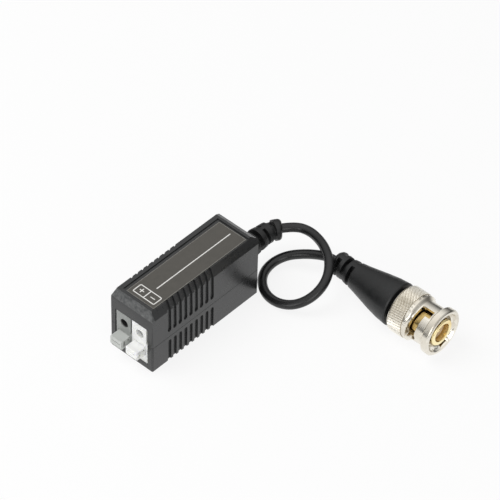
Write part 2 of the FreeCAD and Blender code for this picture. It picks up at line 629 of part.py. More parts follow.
def cable_path(route):
    """Straight runs joined by tangent arcs, and their length. Prints the radii."""
    edges, length, start = [], 0.0, route[0]
    for before, corner, after in zip(route, route[1:], route[2:]):
        inward, outward = (corner - before).normalize(), (after - corner).normalize()
        half_turn = inward.getAngle(outward) / 2
        reach = ARC_SHARE * min((corner - before).Length, (after - corner).Length)
        radius = reach / math.tan(half_turn)
        first, last = corner - inward * reach, corner + outward * reach
        towards = (outward - inward).normalize()
        middle = corner + towards * (radius / math.cos(half_turn) - radius)
        edges += [Part.LineSegment(start, first).toShape(), Part.Arc(first, middle, last).toShape()]
        length += (first - start).Length + radius * half_turn * 2
        start = last
        print("cable arc radius %.1f mm" % radius)
    edges.append(Part.LineSegment(start, route[-1]).toShape())
    return Part.Wire(edges), length + (route[-1] - start).Length


def make_cable():
    """The jacket as one tube whose ends lie on the relief's tail and the boot's tail."""
    exit_point, leave = relief_end()
    entry = Vector(size("plug_x"), size("plug_tail_y") + size("boot_reach"), size("plug_axis_height"))
    inner = [Vector(*point) for point in ROUTE[1:-1]]
    inner[0] = exit_point + leave * (inner[0] - exit_point).Length
    inner[-1] = Vector(entry.x, inner[-1].y, entry.z)
    path, length = cable_path([exit_point] + inner + [entry])
    radius = size("cable_radius")
    ring = Part.Wire(Part.Circle(exit_point, leave, radius).toShape())
    tube = path.makePipeShell([ring], True, False)
    print("cable length %.1f mm, volume over section times length %.4f" %
          (length, tube.Volume / (math.pi * radius * radius * length)))
    cable = doc.addObject("Part::Feature", "Cable")
    cable.Shape = tube
    keep(cable, "cable")


# Plug, made along its own X axis from the boot's tail to the mouth

def make_boot():
    long, bore = "boot_length", "boot_bore"
    body = turned("boot", [
        ("-boot_reach", "0"), ("-boot_reach", "boot_tail - 1.3"), ("-boot_reach + 0.3", "boot_tail - 0.55"),
        ("-boot_reach + 0.9", "boot_tail - 0.1"), ("-boot_reach + 1.5", "boot_tail"), ("3", "boot_waist + 0.1"),
        ("boot_length * 0.3", "boot_waist + (boot_front - boot_waist) * 0.18"),
        ("boot_length * 0.4", "boot_waist + (boot_front - boot_waist) * 0.30"),
        ("boot_length * 0.68", "boot_waist + (boot_front - boot_waist) * 0.71"),
        ("boot_length * 0.84", "boot_waist + (boot_front - boot_waist) * 0.91"),
        ("boot_length - 0.4", "boot_front"), (long, "boot_front - 0.3"),
        (long, "collar_radius + 0.1"), ("boot_length - collar_long + 0.4", "collar_radius + 0.1"),
        ("boot_length - collar_long + 0.4", bore), ("boot_length - boot_bore_deep", bore),
        ("boot_length - boot_bore_deep", "0")])
    cuts = []
    for index, webs in enumerate(("upright", "level", "upright")):
        cuts.append(slot_ring("boot_slot_%d" % index, "boot_slot_first + %d * boot_slot_pitch" % index,
                              "boot_slot_width", webs, "0", ALONG_X, "9", "boot_core", "boot_web"))
    keep(on_plug(cut("connector_boot", body, cuts)), "connector_boot")


def make_plug_inside():
    collar_at = "boot_length - collar_long + 0.5"
    keep(on_plug(turned("bnc_body", [
        ("boot_length - boot_bore_deep + 2", "crimp_radius - 0.5"),
        ("boot_length - boot_bore_deep + 2", "crimp_radius"), (collar_at, "crimp_radius"),
        (collar_at, "neck_radius"), ("nut_rear", "neck_radius"),
        ("nut_rear", "stem_radius"),
        ("flange_at", "stem_radius"), ("flange_at", "nut_chamber - 0.15"),
        ("flange_at + flange_long", "nut_chamber - 0.15"), ("flange_at + flange_long", "sleeve_outer"),
        ("nut_front - sleeve_inset - 0.2", "sleeve_outer"), ("nut_front - sleeve_inset", "sleeve_outer - 0.2"),
        ("nut_front - sleeve_inset", "sleeve_inner + 0.1"), ("nut_front - sleeve_inset - 0.1", "sleeve_inner"),
        ("flange_at", "sleeve_inner"), ("flange_at", "crimp_radius - 0.5")])), "bnc_body")
    keep(on_plug(turned("rear_collar", [
        (collar_at, "neck_radius + fit_gap"), (collar_at, "collar_radius"),
        ("nut_rear - 0.15", "collar_radius"), ("nut_rear - 0.15", "neck_radius + fit_gap")])),
        "rear_collar")
    keep(on_plug(turned("crimp_ferrule", [
        ("%s - ferrule_long - 0.1" % collar_at, "crimp_radius + fit_gap"),
        ("%s - ferrule_long - 0.1" % collar_at, "ferrule_radius"),
        ("%s - 0.1" % collar_at, "ferrule_radius"), ("%s - 0.1" % collar_at, "crimp_radius + fit_gap")])),
        "crimp_ferrule")
    keep(on_plug(turned("insulator", [
        ("flange_at + 0.1", "pin_radius + fit_gap"), ("flange_at + 0.1", "sleeve_inner - fit_gap"),
        ("nut_front - insulator_inset", "sleeve_inner - fit_gap"),
        ("nut_front - insulator_inset", "pin_radius + fit_gap")])), "insulator")
    keep(on_plug(turned("centre_pin", [
        ("boot_length - 4", "0"), ("boot_length - 4", "pin_radius"),
        ("nut_front - pin_inset - 0.6", "pin_radius"),
        ("nut_front - pin_inset", "pin_radius * 0.5"), ("nut_front - pin_inset", "0")])), "centre_pin")
    spring_back = "chamber_back + washer_thick + spring_room"
    spring_fore = "flange_at - spring_room"
    middle = "(chamber_back + washer_thick + flange_at) / 2"
    low, high = "stem_radius + 0.15", "nut_chamber - 0.2"
    keep(on_plug(turned("spring_washer", [
        (spring_back, low), ("%s - spring_thick / 2" % middle, high), ("%s + spring_thick / 2" % middle, high),
        (spring_fore, low), ("%s - spring_thick" % spring_fore, low), (middle, "%s - spring_thick" % high),
        ("%s + spring_thick" % spring_back, low)])), "spring_washer")
    keep(on_plug(turned("thrust_washer", [
        ("chamber_back + 0.03", "stem_radius + 0.08"), ("chamber_back + 0.03", "nut_chamber - 0.08"),
        ("chamber_back + washer_thick", "nut_chamber - 0.08"),
        ("chamber_back + washer_thick", "stem_radius + 0.08")])), "thrust_washer")


def dial_box(name, low, high, width, along, long, angle):
    """A cutter that stands out from the plug's axis at an angle round it."""
    block = doc.addObject("Part::Box", name_of(name))
    block.Placement = Placement(Vector(0, 0, 0), Rotation(Vector(1, 0, 0), angle))
    bind(block, Length=long, Width="%s - (%s)" % (high, low), Height=width)
    turn = Rotation(Vector(1, 0, 0), angle)
    out, side = turn.multVec(Vector(0, 1, 0)), turn.multVec(Vector(0, 0, 1))
    return at(block, along, "(%s) * %r - (%s) / 2 * %r" % (low, out.y, width, side.y),
              "(%s) * %r - (%s) / 2 * %r" % (low, out.z, width, side.z))


def make_coupling_nut():
    """The nut: grip, shoulder, barrel and rim, with a bayonet track cut through each side of the barrel."""
    body = turned("nut", [
        ("nut_rear", "nut_rear_hole"), ("nut_rear", "nut_radius - 0.45"), ("nut_rear + 0.45", "nut_radius"),
        ("nut_rear + grip_length", "nut_radius"), ("nut_rear + grip_length + grip_step", "shoulder_radius"),
        ("nut_rear + grip_length + shoulder_flat", "shoulder_radius"),
        ("nut_rear + grip_length + shoulder_flat + shoulder_long", "barrel_radius"),
        ("nut_front - rim_thick", "barrel_radius"), ("nut_front - rim_thick", "nut_radius - 0.3"),
        ("nut_front - rim_thick + 0.3", "nut_radius"), ("nut_front - 0.45", "nut_radius"),
        ("nut_front", "nut_radius - 0.45"), ("nut_front", "mouth_radius"),
        ("nut_front - mouth_deep", "mouth_radius - 0.5"), ("nut_front - mouth_deep - 0.4", "nut_bore"),
        ("chamber_fore", "nut_bore"), ("chamber_fore", "nut_chamber"), ("chamber_back", "nut_chamber"),
        ("chamber_back", "nut_rear_hole")])
    cutters = []
    for index, half_turn in enumerate((0.0, 180.0)):
        first = size("slot_from") + half_turn
        sweep = size("slot_sweep")
        lean = Rotation(Vector(1, 0, 0), first + sweep / 2)
        axis = lean.multVec(Vector(0, 1, 0))
        tilt = Rotation(axis, -size("slot_tilt"))
        track = doc.addObject("Part::Cylinder", name_of("track_%d" % index))
        turn = tilt.multiply(Rotation(Vector(1, 0, 0), first)).multiply(DIAL_TURN)
        track.Placement = Placement(Vector(0, 0, 0), turn)
        bind(track, Radius="nut_radius + 2", Height="slot_width", Angle="slot_sweep")
        normal = tilt.multVec(Vector(1, 0, 0))
        at(track, "slot_centre - slot_width / 2 * %r" % normal.x, "-slot_width / 2 * %r" % normal.y,
           "-slot_width / 2 * %r" % normal.z)
        rise = math.sin(math.radians(sweep / 2)) * math.tan(math.radians(size("slot_tilt")))
        entry = "slot_centre + barrel_radius * %r" % rise
        seat = "slot_centre - barrel_radius * %r" % rise
        lug_angle = math.degrees(size("lug_width") / 2 / size("barrel_radius"))
        cutters += [
            track,
            dial_box("notch_%d" % index, "nut_bore - 1", "nut_radius - 0.5", "lug_width", "slot_centre",
                     "%s + slot_width / 2 + notch_reach - slot_centre" % entry, first + lug_angle),
            dial_box("keyway_%d" % index, "nut_bore - 1", "keyway_radius", "lug_width", "slot_centre",
                     "nut_front + 1 - slot_centre", first + lug_angle),
        ]
        detent = doc.addObject("Part::Cylinder", name_of("detent_%d" % index))
        seat_angle = first + sweep - lug_angle * 0.6
        detent.Placement = Placement(Vector(0, 0, 0), Rotation(Vector(1, 0, 0), seat_angle).multiply(ALONG_Y))
        bind(detent, Radius="slot_width / 2 + 0.15", Height="nut_radius + 2")
        at(detent, "%s + 0.25" % seat, "0", "0")
        cutters.append(detent)
    keep(on_plug(cut("coupling_nut", body, cutters)), "coupling_nut")


make_upper_shell()
make_lower_shell()
make_label()
make_terminal("grey", "1")
make_terminal("white", "-1")
make_board()
make_toroid()
make_small_parts()
make_strain_relief()
make_cable()
make_boot()
make_plug_inside()
make_coupling_nut()
if doc.getObject("Probe"):
    doc.removeObject("Probe")
doc.recompute()

faults = [thing.Name for thing in doc.Objects if "Invalid" in thing.State or "Error" in thing.State]
for node, thing in parts.items():
    if thing.Shape.isNull() or not thing.Shape.isValid() or thing.Shape.Volume <= 0:
        faults.append(node)
if faults:
    raise SystemExit("these objects failed: " + ", ".join(faults))

os.makedirs("parts", exist_ok=True)
for node, thing in parts.items():
    thing.Shape.exportStep("parts/%s.step" % node)
    low, high = thing.Shape.BoundBox, thing.Shape.BoundBox
    print("%-22s %2d solid  %8.1f mm3  z %6.2f to %6.2f" %
          (node, len(thing.Shape.Solids), thing.Shape.Volume, low.ZMin, high.ZMax))
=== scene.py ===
# Video balun with its looped cable and its bayonet plug, in metres and in the frame of the CAD model.
import bpy
import json
import math
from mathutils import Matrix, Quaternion, Vector

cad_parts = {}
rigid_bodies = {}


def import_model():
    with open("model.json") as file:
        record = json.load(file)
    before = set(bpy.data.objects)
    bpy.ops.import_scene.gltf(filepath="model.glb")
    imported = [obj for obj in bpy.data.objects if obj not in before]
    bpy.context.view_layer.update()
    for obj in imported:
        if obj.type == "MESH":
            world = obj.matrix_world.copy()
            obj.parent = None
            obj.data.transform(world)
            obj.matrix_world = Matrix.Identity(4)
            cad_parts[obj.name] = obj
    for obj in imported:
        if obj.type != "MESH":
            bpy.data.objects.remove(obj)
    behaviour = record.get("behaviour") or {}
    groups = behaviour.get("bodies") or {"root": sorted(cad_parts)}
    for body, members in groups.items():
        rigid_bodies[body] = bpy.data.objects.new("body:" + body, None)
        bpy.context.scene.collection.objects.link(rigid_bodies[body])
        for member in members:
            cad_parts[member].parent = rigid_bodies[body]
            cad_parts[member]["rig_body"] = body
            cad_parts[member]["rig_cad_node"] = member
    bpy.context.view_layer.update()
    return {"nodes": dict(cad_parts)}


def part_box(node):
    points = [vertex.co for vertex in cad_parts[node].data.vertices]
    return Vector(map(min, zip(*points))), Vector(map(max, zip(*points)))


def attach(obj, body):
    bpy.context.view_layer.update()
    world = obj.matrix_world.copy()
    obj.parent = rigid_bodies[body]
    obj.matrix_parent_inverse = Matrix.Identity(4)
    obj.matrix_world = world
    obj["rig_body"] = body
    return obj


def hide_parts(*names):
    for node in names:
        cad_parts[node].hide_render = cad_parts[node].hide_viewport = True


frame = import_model()
MM = 0.001

# Places that the pieces share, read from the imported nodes
shell_low, shell_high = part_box("upper_shell")
film_low, film_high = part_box("label")
relief_low, relief_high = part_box("strain_relief")
boot_low, boot_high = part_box("connector_boot")
nut_low, nut_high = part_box("coupling_nut")
PLUG_X = (nut_low.x + nut_high.x) / 2
PLUG_Z = (nut_low.z + nut_high.z) / 2
NUT_RADIUS = (nut_high.x - nut_low.x) / 2
VALLEY = NUT_RADIUS - 0.28 * MM
BOOT_REACH = 1.1 * MM
TAIL_Y = boot_high.y - BOOT_REACH
BOOT_LENGTH = TAIL_Y - boot_low.y
RELIEF_Z = (relief_low.z + relief_high.z) / 2

# How far the soft sleeves give: the relief sinks to its tail, and the boot's tail leans over
RELIEF_DROOP = 0.75 * MM
BOOT_LEAN = 0.85 * MM


# Camera and light

def set_camera():
    data = bpy.data.cameras.new("camera")
    data.lens = 216
    data.sensor_width = 36
    data.clip_start = 0.01
    data.clip_end = 10
    camera = bpy.data.objects.new("camera", data)
    bpy.context.scene.collection.objects.link(camera)
    camera.location = Vector((-424.4, -396.5, 602.9)) * MM
    target = Vector((33.97, 4.96, 0)) * MM
    aim = (target - camera.location).to_track_quat("-Z", "Y")
    camera.rotation_euler = (aim @ Quaternion((0, 0, 1), math.radians(1.79))).to_euler()
    bpy.context.scene.camera = camera


def add_lamp(name, place, target, size, watts, mirrored=True):
    data = bpy.data.lights.new(name, "AREA")
    data.shape = "DISK"
    data.size = size
    data.energy = watts
    lamp = bpy.data.objects.new(name, data)
    bpy.context.scene.collection.objects.link(lamp)
    lamp.location = place
    lamp.visible_glossy = mirrored
    lamp.rotation_euler = (Vector(target) - Vector(place)).to_track_quat("-Z", "Y").to_euler()


# The mirrored tent from the ground up to the zenith: place on the ramp, strength
TENT = ((0.05, 0.03), (0.55, 0.72), (0.95, 1.25))
PLAIN_LIGHT = 0.34


def set_world():
    """White to the camera; a tent that brightens upwards in reflections; plain grey light on surfaces."""
    world = bpy.data.worlds.new("studio")
    bpy.context.scene.world = world
    world.use_nodes = True
    nodes, links = world.node_tree.nodes, world.node_tree.links
    nodes.clear()
    output = nodes.new("ShaderNodeOutputWorld")
    path = nodes.new("ShaderNodeLightPath")
    seen = nodes.new("ShaderNodeMath")
    seen.operation = "MAXIMUM"
    links.new(path.outputs["Is Camera Ray"], seen.inputs[0])
    links.new(path.outputs["Is Transmission Ray"], seen.inputs[1])
    white = nodes.new("ShaderNodeBackground")
    white.inputs["Color"].default_value = (1, 1, 1, 1)
    plain = nodes.new("ShaderNodeBackground")
    plain.inputs["Color"].default_value = (1, 1, 1, 1)
    plain.inputs["Strength"].default_value = PLAIN_LIGHT
    place = nodes.new("ShaderNodeTexCoord")
    split = nodes.new("ShaderNodeSeparateXYZ")
    links.new(place.outputs["Generated"], split.inputs[0])
    ramp = nodes.new("ShaderNodeValToRGB")
    ramp.color_ramp.elements.new(TENT[1][0])
    for stop, (height, strength) in zip(ramp.color_ramp.elements, TENT):
        stop.position = height
        stop.color = (strength, strength, strength, 1)
    links.new(split.outputs["Z"], ramp.inputs[0])
    mirrored = nodes.new("ShaderNodeBackground")
    links.new(ramp.outputs["Color"], mirrored.inputs["Color"])
    first = nodes.new("ShaderNodeMixShader")
    links.new(path.outputs["Is Glossy Ray"], first.inputs[0])
    links.new(plain.outputs[0], first.inputs[1])
    links.new(mirrored.outputs[0], first.inputs[2])
    last = nodes.new("ShaderNodeMixShader")
    links.new(seen.outputs[0], last.inputs[0])
    links.new(first.outputs[0], last.inputs[1])
    links.new(white.outputs[0], last.inputs[2])
    links.new(last.outputs[0], output.inputs["Surface"])


# The floor glows white around this place in reflections, and fades between the two distances
GLOW_MIDDLE = (0.01, -0.02, 0)
GLOW_NEAR, GLOW_FAR = 0.065, 0.15
FAR_GLOW = 0.10
CAMERA_GLOW = 0.86


def make_floor():
    """A pale floor that reads white but keeps a faint shadow; reflections see it fade into the distance."""
    bpy.ops.object.select_all(action="DESELECT")
    bpy.ops.mesh.primitive_plane_add(size=3, location=(0, 0, -0.00002))
    floor = bpy.context.active_object
    floor.name = "floor"
    material = bpy.data.materials.new("pale_floor")
    material.use_nodes = True
    nodes, links = material.node_tree.nodes, material.node_tree.links
    shader = nodes["Principled BSDF"]
    shader.inputs["Base Color"].default_value = (0.92, 0.92, 0.92, 1)
    shader.inputs["Roughness"].default_value = 0.9
    shader.inputs["Specular IOR Level"].default_value = 0.1
    path = nodes.new("ShaderNodeLightPath")
    place = nodes.new("ShaderNodeTexCoord")
    away = nodes.new("ShaderNodeVectorMath")
    away.operation = "DISTANCE"
    away.inputs[1].default_value = GLOW_MIDDLE
    links.new(place.outputs["Object"], away.inputs[0])
    fading = nodes.new("ShaderNodeMapRange")
    fading.inputs["From Min"].default_value = GLOW_NEAR
    fading.inputs["From Max"].default_value = GLOW_FAR
    fading.inputs["To Min"].default_value = 1.0
    fading.inputs["To Max"].default_value = FAR_GLOW
    links.new(away.outputs["Value"], fading.inputs["Value"])
    level = nodes.new("ShaderNodeMath")
    level.operation = "MAXIMUM"
    links.new(path.outputs["Is Camera Ray"], level.inputs[0])
    links.new(fading.outputs["Result"], level.inputs[1])
    glow = nodes.new("ShaderNodeEmission")
    glow.inputs["Color"].default_value = (1, 1, 1, 1)
    links.new(level.outputs[0], glow.inputs["Strength"])
    faint = nodes.new("ShaderNodeMath")
    faint.operation = "MULTIPLY"
    faint.inputs[1].default_value = CAMERA_GLOW
    links.new(path.outputs["Is Camera Ray"], faint.inputs[0])
    share = nodes.new("ShaderNodeMath")
    share.operation = "MAXIMUM"
    links.new(faint.outputs[0], share.inputs[0])
    links.new(path.outputs["Is Glossy Ray"], share.inputs[1])
    mix = nodes.new("ShaderNodeMixShader")
    links.new(share.outputs[0], mix.inputs[0])
    links.new(shader.outputs[0], mix.inputs[1])
    links.new(glow.outputs[0], mix.inputs[2])
    links.new(mix.outputs[0], nodes["Material Output"].inputs["Surface"])
    floor.data.materials.append(material)


set_camera()
set_world()
make_floor()
add_lamp("key", (-0.25, 0.35, 0.75), (0.02, -0.02, 0.01), 0.70, 5.0, mirrored=False)
add_lamp("front", (-0.70, -0.05, 0.22), (0.00, -0.02, 0.01), 0.45, 1.1)
add_lamp("side", (-0.42, -0.62, 0.24), (0.03, -0.02, 0.01), 0.55, 1.5)
bpy.context.scene.view_settings.view_transform = "Standard"


# Effects that several finishes share

def effect(name, inputs, outputs):
    """An empty node group with named sockets, and its input and output nodes."""
    group = bpy.data.node_groups.new(name, "ShaderNodeTree")
    for word, value in inputs.items():
        socket = group.interface.new_socket(word, in_out="INPUT", socket_type="NodeSocketFloat")
        socket.default_value = value
    for word in outputs:
        group.interface.new_socket(word, in_out="OUTPUT", socket_type="NodeSocketFloat")
    return group, group.nodes.new("NodeGroupInput"), group.nodes.new("NodeGroupOutput")


def noise_at(group, scale_socket, detail, roughness=0.5, stretch=None):
    """A noise on object coordinates whose scale is in grains to the metre."""
    place = group.nodes.new("ShaderNodeTexCoord")
    noise = group.nodes.new("ShaderNodeTexNoise")
    noise.inputs["Detail"].default_value = detail
    noise.inputs["Roughness"].default_value = roughness
    source = place.outputs["Object"]
    if stretch is not None:
        mapping = group.nodes.new("ShaderNodeMapping")
        mapping.inputs["Scale"].default_value = stretch
        group.links.new(source, mapping.inputs["Vector"])
        source = mapping.outputs["Vector"]
    group.links.new(source, noise.inputs["Vector"])
    group.links.new(scale_socket, noise.inputs["Scale"])
    return noise


def ramped(group, value, low, high):
    """Spreads a narrow band of values over nought to one."""
    span = group.nodes.new("ShaderNodeMapRange")
    span.inputs["From Min"].default_value = low
    span.inputs["From Max"].default_value = high
    group.links.new(value, span.inputs["Value"])
    return span.outputs["Result"]


def make_moulded_grain():
    """The sparked skin of a moulded part: fine pits, and soft patches where it is shinier."""
    group, given, result = effect("moulded_grain", {"Grains": 4000, "Patches": 350}, ["Height", "Patch"])
    fine = noise_at(group, given.outputs["Grains"], 3.0, 0.6)
    group.links.new(ramped(group, fine.outputs["Fac"], 0.3, 0.7), result.inputs["Height"])
    broad = noise_at(group, given.outputs["Patches"], 4.0, 0.6)
    group.links.new(ramped(group, broad.outputs["Fac"], 0.35, 0.65), result.inputs["Patch"])
    return group


def make_handling():
    """Fine rubbed lines and dull finger marks on a bright surface."""
    group, given, result = effect("handling", {"Lines": 900, "Smudges": 160}, ["Height", "Dull"])
    lines = noise_at(group, given.outputs["Lines"], 2.0, 0.5, (1, 1, 9))
    group.links.new(ramped(group, lines.outputs["Fac"], 0.35, 0.65), result.inputs["Height"])
    smudges = noise_at(group, given.outputs["Smudges"], 3.0)
    group.links.new(ramped(group, smudges.outputs["Fac"], 0.4, 0.7), result.inputs["Dull"])
    return group


def make_edge_wear():
    """How far a spot is on a rounded edge, where plastic is rubbed paler and plating brighter."""
    group, given, result = effect("edge_wear", {"Strength": 1.0}, ["Edge"])
    shape = group.nodes.new("ShaderNodeNewGeometry")
    scaled = group.nodes.new("ShaderNodeMath")
    scaled.operation = "MULTIPLY"
    group.links.new(ramped(group, shape.outputs["Pointiness"], 0.52, 0.60), scaled.inputs[0])
    group.links.new(given.outputs["Strength"], scaled.inputs[1])
    group.links.new(scaled.outputs[0], result.inputs["Edge"])
    return group


moulded_grain = make_moulded_grain()
handling = make_handling()
edge_wear = make_edge_wear()


# Finishes

def start_finish(name, roughness, **sockets):
    """A new material with plain values on its shader, ready for its colours and its relief."""
    material = bpy.data.materials.new(name)
    material.use_nodes = True
    shader = material.node_tree.nodes["Principled BSDF"]
    shader.inputs["Roughness"].default_value = roughness
    for word, value in sockets.items():
        shader.inputs[word.replace("_", " ")].default_value = value
    return material, material.node_tree.nodes, material.node_tree.links, shader


def use(nodes, group, **values):
    """Places a shared effect in a material with the material's own values."""
    node = nodes.new("ShaderNodeGroup")
    node.node_tree = group
    for word, value in values.items():
        node.inputs[word].default_value = value
    return node


def blend_colours(nodes, links, factor, first, second):
    """Goes from the first colour to the second as the factor rises; each is a colour or a socket."""
    mix = nodes.new("ShaderNodeMix")
    mix.data_type = "RGBA"
    links.new(factor, mix.inputs["Factor"])
    for socket, colour in ((mix.inputs[6], first), (mix.inputs[7], second)):
        if isinstance(colour, tuple):
            socket.default_value = (*colour, 1)
        else:
            links.new(colour, socket)
    return mix.outputs[2]


def spread(nodes, links, value, low, high):
    """Spreads nought to one over a range of values."""
    span = nodes.new("ShaderNodeMapRange")
    span.inputs["To Min"].default_value = low
    span.inputs["To Max"].default_value = high
    links.new(value, span.inputs["Value"])
    return span.outputs["Result"]


def bump(nodes, links, shader, height, strength, distance):
    node = nodes.new("ShaderNodeBump")
    node.inputs["Strength"].default_value = strength
    node.inputs["Distance"].default_value = distance
    links.new(height, node.inputs["Height"])
    links.new(node.outputs["Normal"], shader.inputs["Normal"])


def plastic(name, dark, light, roughness, grains=4000, patches=350, relief=0.00003, strength=0.35,
            gloss=0.5, rubbed=1.35):
    """Moulded plastic: two close tones in soft patches, a sparked skin, rubbed edges and uneven gloss."""
    material, nodes, links, shader = start_finish(name, roughness[0], Specular_IOR_Level=gloss)
    grain = use(nodes, moulded_grain, Grains=grains, Patches=patches)
    tone = blend_colours(nodes, links, grain.outputs["Patch"], dark, light)
    wear = use(nodes, edge_wear, Strength=0.2)
    paler = tuple(min(1.0, rubbed * value + 0.015) for value in light)
    links.new(blend_colours(nodes, links, wear.outputs["Edge"], tone, paler), shader.inputs["Base Color"])
    sheen = spread(nodes, links, grain.outputs["Patch"], roughness[1], roughness[0])
    links.new(sheen, shader.inputs["Roughness"])
    bump(nodes, links, shader, grain.outputs["Height"], strength, relief)
    return material


def plating(name, deep, bright, roughness, lines=900, smudges=160, strength=0.12):
    """Plated metal: a warm and a bright tone, fine rubbed lines and dull finger marks."""
    material, nodes, links, shader = start_finish(name, roughness[0], Metallic=1.0)
    marks = use(nodes, handling, Lines=lines, Smudges=smudges)
    wear = use(nodes, edge_wear, Strength=1.0)
    tone = blend_colours(nodes, links, marks.outputs["Dull"], bright, deep)
    links.new(blend_colours(nodes, links, wear.outputs["Edge"], tone, bright), shader.inputs["Base Color"])
    sheen = spread(nodes, links, marks.outputs["Dull"], roughness[0], roughness[1])
    links.new(sheen, shader.inputs["Roughness"])
    bump(nodes, links, shader, marks.outputs["Height"], strength, 0.00002)
    return material


def one_where(nodes, links, value, operation, limit):
    """One where a value passes a limit, nought elsewhere."""
    node = nodes.new("ShaderNodeMath")
    node.operation = operation
    node.inputs[1].default_value = limit
    links.new(value, node.inputs[0])
    return node.outputs[0]


def open_finish(material):
    """A finished material's nodes, links, colour socket, and the tone that feeds it."""
    nodes, links = material.node_tree.nodes, material.node_tree.links
    colour = nodes["Principled BSDF"].inputs["Base Color"]
    return nodes, links, colour, colour.links[0].from_socket


def places_on_axes(nodes, links):
    """A spot's place on the X, Y and Z axes."""
    place = nodes.new("ShaderNodeTexCoord")
    split = nodes.new("ShaderNodeSeparateXYZ")
    links.new(place.outputs["Object"], split.inputs[0])
    return split.outputs


# The slope above the front face: how deep it is and how far it comes down
CHAMFER_DEPTH, CHAMFER_DROP = 1.15 * MM, 3.2 * MM
# Both tones of the slope are far paler than the housing: painted sheen over a coarser spark texture
CHAMFER_SHEEN_DARK, CHAMFER_SHEEN_LIGHT = (0.030, 0.032, 0.033), (0.110, 0.113, 0.113)


def mottle_front_chamfer_with_painted_sheen(material):
    """Mottles the slope above the front face, where the moulding is coarser; its paler tones are painted
    sheen.
    """
    nodes, links, colour, plain_tone = open_finish(material)
    places = places_on_axes(nodes, links)
    ahead = one_where(nodes, links, places["X"], "LESS_THAN", shell_low.x + CHAMFER_DEPTH)
    above = one_where(nodes, links, places["Z"], "GREATER_THAN", shell_high.z - CHAMFER_DROP)
    on_slope = nodes.new("ShaderNodeMath")
    on_slope.operation = "MULTIPLY"
    links.new(ahead, on_slope.inputs[0])
    links.new(above, on_slope.inputs[1])
    coarse = use(nodes, moulded_grain, Grains=1100, Patches=700)
    mottled_sheen = blend_colours(nodes, links, coarse.outputs["Height"], CHAMFER_SHEEN_DARK, CHAMFER_SHEEN_LIGHT)
    links.new(blend_colours(nodes, links, on_slope.outputs[0], plain_tone, mottled_sheen), colour)
    return material


def paint_shade_behind(material, axis, start, deep, share=0.85, run=0.8 * MM):
    """Turns the tone to a deep one past a place on an axis: painted shade deep inside the part."""
    nodes, links, colour, plain_tone = open_finish(material)
    behind = nodes.new("ShaderNodeMapRange")
    behind.inputs["From Min"].default_value = start
    behind.inputs["From Max"].default_value = start + run
    behind.inputs["To Max"].default_value = share
    links.new(places_on_axes(nodes, links)[axis], behind.inputs["Value"])
    links.new(blend_colours(nodes, links, behind.outputs["Result"], plain_tone, deep), colour)
    return material


# The knurl's valleys are darker: partly grime, partly painted shade between the points
VALLEY_GRIME_AND_SHADE = (0.34, 0.29, 0.20)
VALLEY_GRIME_AND_SHADE_DEPTH = 0.10 * MM


def grime_and_shade_valleys(material):
    """Darkens the plating between the knurl's points, by its distance from the plug's axis: partly grime,
    partly painted shade.
    """
    nodes, links, colour, plain_tone = open_finish(material)
    place = nodes.new("ShaderNodeTexCoord")
    flat = nodes.new("ShaderNodeVectorMath")
    flat.operation = "MULTIPLY"
    flat.inputs[1].default_value = (1, 0, 1)
    links.new(place.outputs["Object"], flat.inputs[0])
    away = nodes.new("ShaderNodeVectorMath")
    away.operation = "DISTANCE"
    away.inputs[1].default_value = (PLUG_X, 0, PLUG_Z)
    links.new(flat.outputs["Vector"], away.inputs[0])
    out_of_valleys = nodes.new("ShaderNodeMapRange")
    out_of_valleys.inputs["From Min"].default_value = VALLEY
    out_of_valleys.inputs["From Max"].default_value = VALLEY + VALLEY_GRIME_AND_SHADE_DEPTH
    links.new(away.outputs["Value"], out_of_valleys.inputs["Value"])
    links.new(blend_colours(nodes, links, out_of_valleys.outputs["Result"], VALLEY_GRIME_AND_SHADE, plain_tone), colour)
    return material


# Tones that two finishes share, dark and light
HOUSING_TONES = ((0.014, 0.0145, 0.015), (0.019, 0.0195, 0.020))
GREY_TONES = ((0.225, 0.235, 0.225), (0.26, 0.27, 0.26))
HOUSING_RELIEF = 0.05

